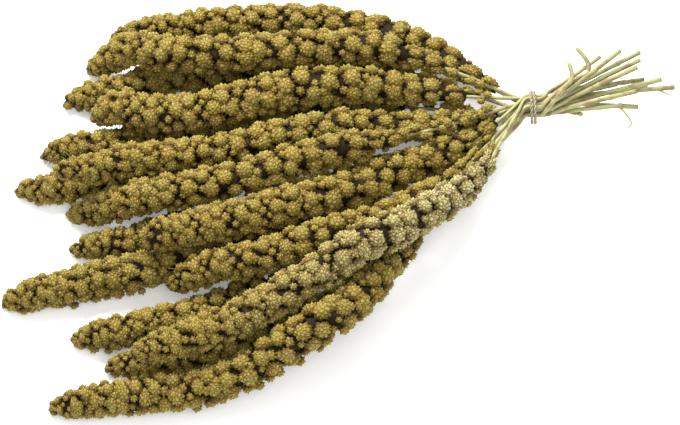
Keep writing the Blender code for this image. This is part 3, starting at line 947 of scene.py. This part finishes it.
def add_core(head):
    """The rough middle of the head, which shows deep between its clumps and is painted dark as shade."""
    core = CORE_SHARE * np.array([float(head_radius(head.girth, s / head.total)) for s in head.lengths])
    core[-1] = 0.001
    line = head.line
    points, corners, _ = tube_shape(line, core, CORE_SIDES)
    rough = np.array([head.looks.uniform(0, 1) for _ in points])
    nearest = np.concatenate([np.repeat(line, CORE_SIDES, axis=0), line[:1], line[-1:]])
    points = nearest + (points - nearest) * (0.85 + 0.35 * rough)[:, None]
    # Low depth tones, so the core takes the painted crevice shade
    tones = np.stack([0.2 + 0.4 * rough, 0.5 * rough, 0.4 + 0.28 * rough], 1)
    head.parts.add(points, corners, tones)


def add_clusters(parts, line, girth, kinds, side_share, seed):
    """All that a head is made of: its clumps, its bristles and its core."""
    shapes, middle_shapes, small_shapes = kinds
    head = HeadLine(parts, line, girth, random.Random(seed + 100))
    rows = cluster_rows(head.total)
    grid = cluster_grid(rows, head.total, girth, random.Random(seed))
    add_large_clusters(head, rows, grid, shapes, middle_shapes)
    add_valley_clusters(head, grid, small_shapes, side_share)
    add_loose_clusters(head, small_shapes)
    end, ahead = head.line[-1], head.ahead[-1]
    place_cluster(parts, shapes[0], end - ahead * TIP_CLUMP, (head.side[-1], head.over[-1], ahead),
                  (TIP_CLUMP,) * 3, 0.0, head.looks.random(), end - ahead * 0.02, 0.02)
    add_bristles(head)
    add_core(head)


def add_bristles(head):
    """Stiff hairs that stand out between the seeds near the tip of a head."""
    line, lengths, ahead, looks = head.line, head.lengths, head.ahead, head.looks
    for _ in range(BRISTLES):
        back = looks.uniform(0.001, 0.03)
        k = int(np.argmin(abs(lengths - (lengths[-1] - back))))
        angle = looks.uniform(0, 2 * math.pi)
        out = head.side[k] * math.cos(angle) + head.over[k] * math.sin(angle)
        radius = float(head_radius(head.girth, lengths[k] / lengths[-1]))
        way = out + ahead[k] * looks.uniform(0.2, 1.0)
        way /= np.linalg.norm(way)
        reach = looks.uniform(0.003, 0.0055)
        root = line[k] + out * (radius - 0.002)
        bent = np.array([root + way * reach * t + ahead[k] * 0.0015 * t**2 for t in (0, 0.4, 0.75, 1)])
        if in_box(bent[-1]):
            points, corners, _ = tube_shape(bent, BRISTLE_RADII, 4)
            tones = np.tile([0.5, 1.0, 1.0], (len(points), 1))
            head.parts.add(points, corners, tones)


def add_stray_clusters(parts, stem, small_shapes, spray):
    """Small clumps that grow along the bare stem between the neck of a head and the tie."""
    looks = random.Random(spray + 199)
    line, lengths = resample(stem, 0.002)
    ahead, side, over = frames_along(line)
    reach = float(np.interp(LAST_CLUMP, line[:, 0], lengths)) * (0.45 if spray in BARE_STEMS else 1)
    spot = SOCKET_DEPTH + 0.002
    while spot < reach:
        k = int(np.argmin(abs(lengths - spot)))
        angle = looks.uniform(-0.6, math.pi + 0.6)
        out = side[k] * math.cos(angle) + over[k] * math.sin(angle)
        size = looks.uniform(0.0028, 0.0046)
        middle = line[k] + out * (0.0008 + size * 0.7)
        place_cluster(parts, looks.choice(small_shapes), middle, (np.cross(out, ahead[k]), ahead[k], out),
                      (size, size * 1.2, size * 0.9), looks.uniform(0, 6.28), looks.random(),
                      line[k], size * 1.1)
        spot += looks.uniform(0.0028, 0.0058)


class MILLET_OT_heads(bpy.types.Operator):
    """Cover every head with its clusters of husked seeds"""

    bl_idname = "millet.heads"
    bl_label = "Seed Heads"

    def execute(self, context):
        look = context.scene.millet_head_look
        chance = random.Random(7)
        kinds = [
            [ClusterShape(seeds, look.seed_relief * deeper, chance) for _ in range(count)]
            for seeds, deeper, count in ((look.seeds_on_cluster, 1, LARGE_SHAPES),
                                         (MIDDLE_SEEDS, 1.1, MIDDLE_SHAPES),
                                         (SMALL_SEEDS, 1.2, SMALL_SHAPES))
        ]
        golden = seed_material("golden_seeds", look, False)
        pale = seed_material("pale_seeds", look, True)
        for number, (spray, (_, head, stem)) in enumerate(zip(SPRAYS, LINES), start=1):
            parts = MeshParts()
            add_clusters(parts, head, spray[1] / 1000, kinds, look.side_clusters, number)
            add_stray_clusters(parts, stem, kinds[-1], number)
            is_pale = number == PALE_SPRAY
            parts.to_piece(f"head_{number:02d}_clusters", "seed_tone", pale if is_pale else golden,
                           f"head_{number:02d}")
        return {"FINISHED"}


def straw_tones(rows, sides, tint, along, hollow_shade):
    """The stored tones of a stem: its own tint, the share of its length, and the painted shade inside its
    hollow cut end.
    """
    skin = np.stack([np.full(rows * sides, tint), np.repeat(along, sides), np.repeat(hollow_shade, sides)], 1)
    return np.concatenate([skin, [[tint, along[0], hollow_shade[0]], [tint, along[-1], hollow_shade[-1]]]])


def add_stem_skin(parts, straight, stem, neck, ridges, seed):
    """One stem: a ridged tube with a few joints, whose cut end is hollow."""
    looks = random.Random(seed)
    line = rounded(stem, STRAW_STEP)
    radii = stem_radius(line[:, 0], neck)
    lengths = lengths_along(line)
    free = np.abs(line[:, 0]) > 0.012
    for share in (looks.uniform(0.3, 0.5), looks.uniform(0.82, 0.93)):
        spot = lengths[-1] * share
        radii = radii * (1 + JOINT_SWELLING * np.exp(-((lengths - spot) / JOINT_LENGTH) ** 2) * free)
    wobble = np.array([looks.uniform(-1, 1) for _ in line])
    radii = radii * (1 + 0.03 * wobble)
    end, ahead = line[-1], line[-1] - line[-2]
    ahead = ahead / np.linalg.norm(ahead)
    points = np.concatenate([line, [end + ahead * back + ahead * 0.00001 for back, _ in HOLLOW]])
    sizes = np.concatenate([radii, [radii[-1] * share for _, share in HOLLOW]])
    sides = ridges * 2
    _, side, over = frames_along(line)
    flat, corners, places = tube_shape(points, sizes, sides, 0.05, ridges)
    angles = 2 * math.pi * np.arange(sides) / sides
    out = side[-1] * np.cos(angles)[:, None] + over[-1] * np.sin(angles)[:, None]
    for n in range(len(line), len(points)):
        flat[n * sides:(n + 1) * sides] = points[n] + out * sizes[n]
    along = np.concatenate([np.clip(line[:, 0] / 0.07, 0, 1), [1.0] * len(HOLLOW)])
    # Painted shade inside the hollow, deepening towards its bottom
    hollow_shade = np.concatenate([np.zeros(len(line)), [0.25, 0.8, 1.0]])
    places[:, 2] += looks.uniform(0, 3) * lengths[-1]
    parts.add(flat, corners, straw_tones(len(points), sides, looks.random(), along, hollow_shade))
    straight.append(places)


def add_shred(parts, straight, stem, place, further):
    """A thin split straw that leaves a stem at a place along X and ends loose."""
    after_tie = stem[stem[:, 0] > 0]
    root = np.array([place, *(np.interp(place, after_tie[:, 0], after_tie[:, k]) for k in (1, 2))])
    height = root[2] * LEAN - root[1] * RISE
    line = rounded(np.array([root, *bent_end(further, height)]), 0.0015)
    flat, corners, places = tube_shape(line, np.linspace(*SHRED_RADII, len(line)), SHRED_SIDES)
    along = np.linspace(0.2, 0.6, len(line))
    tones = straw_tones(len(line), SHRED_SIDES, 0.4, along, np.zeros(len(line)))
    parts.add(flat, corners, tones)
    straight.append(places)


class MILLET_OT_stems(bpy.types.Operator):
    """Dress every stem: ridges, joints and hollow cut ends"""

    bl_idname = "millet.stems"
    bl_label = "Stems"

    def execute(self, context):
        look = context.scene.millet_stem_look
        straw = straw_material("dry_straw", look)
        for number, (spray, (_, _, stem)) in enumerate(zip(SPRAYS, LINES), start=1):
            parts = MeshParts()
            straight = []
            neck = spray[2][-1][0] / 1000
            add_stem_skin(parts, straight, stem, neck, look.ridges, number)
            for on_stem, place, further in SHREDS:
                if on_stem == number:
                    add_shred(parts, straight, stem, place / 1000, further)
            parts.to_piece(f"stem_{number:02d}_straw", "straw_tone", straw,
                           f"stem_{number:02d}", straight)
        return {"FINISHED"}


def winding():
    """The middle line of the twine's turns round all the stems."""
    half_width = TWINE_PITCH * TWINE_TURNS / 2 + TWINE_RADIUS
    band = np.linspace(-half_width, half_width, 7)
    y = np.array([np.interp(band, line[:, 0], line[:, 1]) for line, _, _ in LINES])
    z = np.array([np.interp(band, line[:, 0], line[:, 2]) for line, _, _ in LINES])
    middle_y, middle_z = (y.min() + y.max()) / 2, (z.min() + z.max()) / 2
    inside = float(np.hypot(y - middle_y, z - middle_z).max()) + STEM_RADIUS_IN_TIE
    radius = inside + CLEARANCE + TWINE_RADIUS
    turns = np.linspace(0, TWINE_TURNS, TWINE_TURNS * STEPS_PER_TURN + 1)
    return np.stack([
        TWINE_PITCH * (turns - TWINE_TURNS / 2),
        middle_y + radius * np.cos(2 * math.pi * turns),
        middle_z + radius * np.sin(2 * math.pi * turns)], 1), np.array([0, middle_y, middle_z])


def strand_corners(rows, sides):
    """Triangles of a closed strand made of rings with this many sides."""
    last = (rows - 1) * sides
    caps = []
    for k in range(1, sides - 1):
        caps += [(0, k, k + 1), (last, last + k + 1, last + k)]
    return np.concatenate([ring_corners(rows, sides, (0, 2, 3, 0, 3, 1)), caps])


class MILLET_OT_tie(bpy.types.Operator):
    """Wind the stems with a twine of two twisted strands"""

    bl_idname = "millet.tie"
    bl_label = "Tie"

    def execute(self, context):
        look = context.scene.millet_twine_look
        fibre = twine_material(look)
        path, centre = winding()
        out = path - centre
        out[:, 0] = 0
        out /= np.linalg.norm(out, axis=1)[:, None]
        across = np.cross(frames_along(path)[0], out)
        lengths = lengths_along(path)
        twist = 2 * math.pi * lengths / look.twist_length
        angles = 2 * math.pi * np.arange(STRAND_SIDES) / STRAND_SIDES
        rows = len(path)
        corners = strand_corners(rows, STRAND_SIDES)
        parts = MeshParts()
        straight = []
        for strand in range(2):
            phase = twist + math.pi * strand
            swing = out * np.cos(phase)[:, None] + across * np.sin(phase)[:, None]
            middle = path + swing * TWINE_RADIUS * STRAND_SWING
            roll = phase[:, None] + angles[None]
            spread = out[:, None] * np.cos(roll)[:, :, None] + across[:, None] * np.sin(roll)[:, :, None]
            skin = (middle[:, None] + spread * TWINE_RADIUS * STRAND_RADIUS).reshape(-1, 3)
            outside = np.tile(0.5 + 0.5 * np.cos(angles), rows)
            tones = np.stack([np.full(len(skin), 0.3 + 0.4 * strand), outside, np.zeros(len(skin))], 1)
            parts.add(skin, corners, tones)
            straight.append(np.stack([
                np.tile(np.cos(angles), rows) * TWINE_RADIUS, np.tile(np.sin(angles), rows) * TWINE_RADIUS,
                np.repeat(lengths, STRAND_SIDES) + strand], 1))
        parts.to_piece("tie_twine", "straw_tone", fibre, "tie", straight)
        return {"FINISHED"}


def soft_light(name, power, place, width, colour):
    """A square soft light that faces the middle of the bunch."""
    lamp = bpy.data.lights.new(name, "AREA")
    lamp.shape = "SQUARE"
    lamp.size = width
    lamp.energy = power
    lamp.color = colour
    new_object(name, lamp, place, (0, 0, 0))


class MILLET_OT_stage(bpy.types.Operator):
    """Set the white floor, the soft lights and the camera"""

    bl_idname = "millet.stage"
    bl_label = "Stage"

    def execute(self, context):
        look = context.scene.millet_stage_look
        right = (PICTURE_SIZE[0] / 2 - TIE_PIXEL[0]) * PIXEL
        up = (TIE_PIXEL[1] - PICTURE_SIZE[1] / 2) * PIXEL
        tie = Vector(CENTRING) + Vector((0, 0, TIE_HEIGHT))
        towards = Vector((0, -RISE, LEAN))
        aim = tie + Vector((right, up * LEAN, up * RISE)) + towards * TRUE_PLANE
        camera = bpy.data.cameras.new("camera")
        camera.sensor_width = SENSOR
        camera.lens = SENSOR * CAMERA_DISTANCE / (PICTURE_SIZE[0] * PIXEL)
        camera.clip_end = CLIP_END
        context.scene.camera = new_object("camera", camera, aim + towards * CAMERA_DISTANCE, aim)

        sheet = bmesh.new()
        bmesh.ops.create_grid(sheet, x_segments=8, y_segments=8, size=SHEET_HALF_WIDTH)
        mesh = bpy.data.meshes.new("floor")
        sheet.to_mesh(mesh)
        sheet.free()
        material, _, shader = new_material("floor_white", 0.9)
        shader.inputs["Base Color"].default_value = (*look.floor_colour, 1)
        # Painted light: the floor's own glow, which washes out the shadows cast on it
        shader.inputs["Emission Color"].default_value = (1, 1, 1, 1)
        shader.inputs["Emission Strength"].default_value = look.floor_glow
        mesh.materials.append(material)
        floor = new_object("floor", mesh, (0, 0, CAD_LOW[2] - SHEET_DROP))

        world = bpy.data.worlds.new("white_surround")
        world.use_nodes = True
        surround = world.node_tree.nodes["Background"]
        surround.inputs["Color"].default_value = (1, 1, 1, 1)
        surround.inputs["Strength"].default_value = look.sky_strength
        context.scene.world = world
        soft_light("key_light", look.key_power, *KEY_LIGHT)
        soft_light("fill_light", look.fill_power, *FILL_LIGHT)
        context.scene.view_settings.view_transform = "Standard"
        return {"FINISHED"}


class MILLET_PT_panel(bpy.types.Panel):
    """Sidebar panel with the sizes, colours and steps of the bunch"""

    bl_idname = "MILLET_PT_panel"
    bl_label = "Millet Bunch"
    bl_space_type = "VIEW_3D"
    bl_region_type = "UI"
    bl_category = "Millet"

    def draw(self, context):
        column = self.layout.column()
        for step in STEPS:
            column.operator(step.bl_idname)
        for name, kind in LOOKS.items():
            box = column.box()
            for field in kind.__annotations__:
                box.prop(getattr(context.scene, name), field)


LOOKS = {
    "millet_head_look": MilletHeadLook,
    "millet_stem_look": MilletStemLook,
    "millet_twine_look": MilletTwineLook,
    "millet_stage_look": MilletStageLook,
}
STEPS = (MILLET_OT_stage, MILLET_OT_heads, MILLET_OT_stems, MILLET_OT_tie)


def register():
    for kind in (*LOOKS.values(), *STEPS, MILLET_PT_panel):
        bpy.utils.register_class(kind)
    for name, kind in LOOKS.items():
        setattr(bpy.types.Scene, name, bpy.props.PointerProperty(type=kind))


def unregister():
    for name in LOOKS:
        delattr(bpy.types.Scene, name)
    for kind in (MILLET_PT_panel, *reversed(STEPS), *reversed(LOOKS.values())):
        bpy.utils.unregister_class(kind)


def main():
    """Builds the stage and every piece."""
    register()
    bpy.ops.millet.stage()
    bpy.ops.millet.heads()
    bpy.ops.millet.stems()
    bpy.ops.millet.tie()


if __name__ == "__main__":
    main()
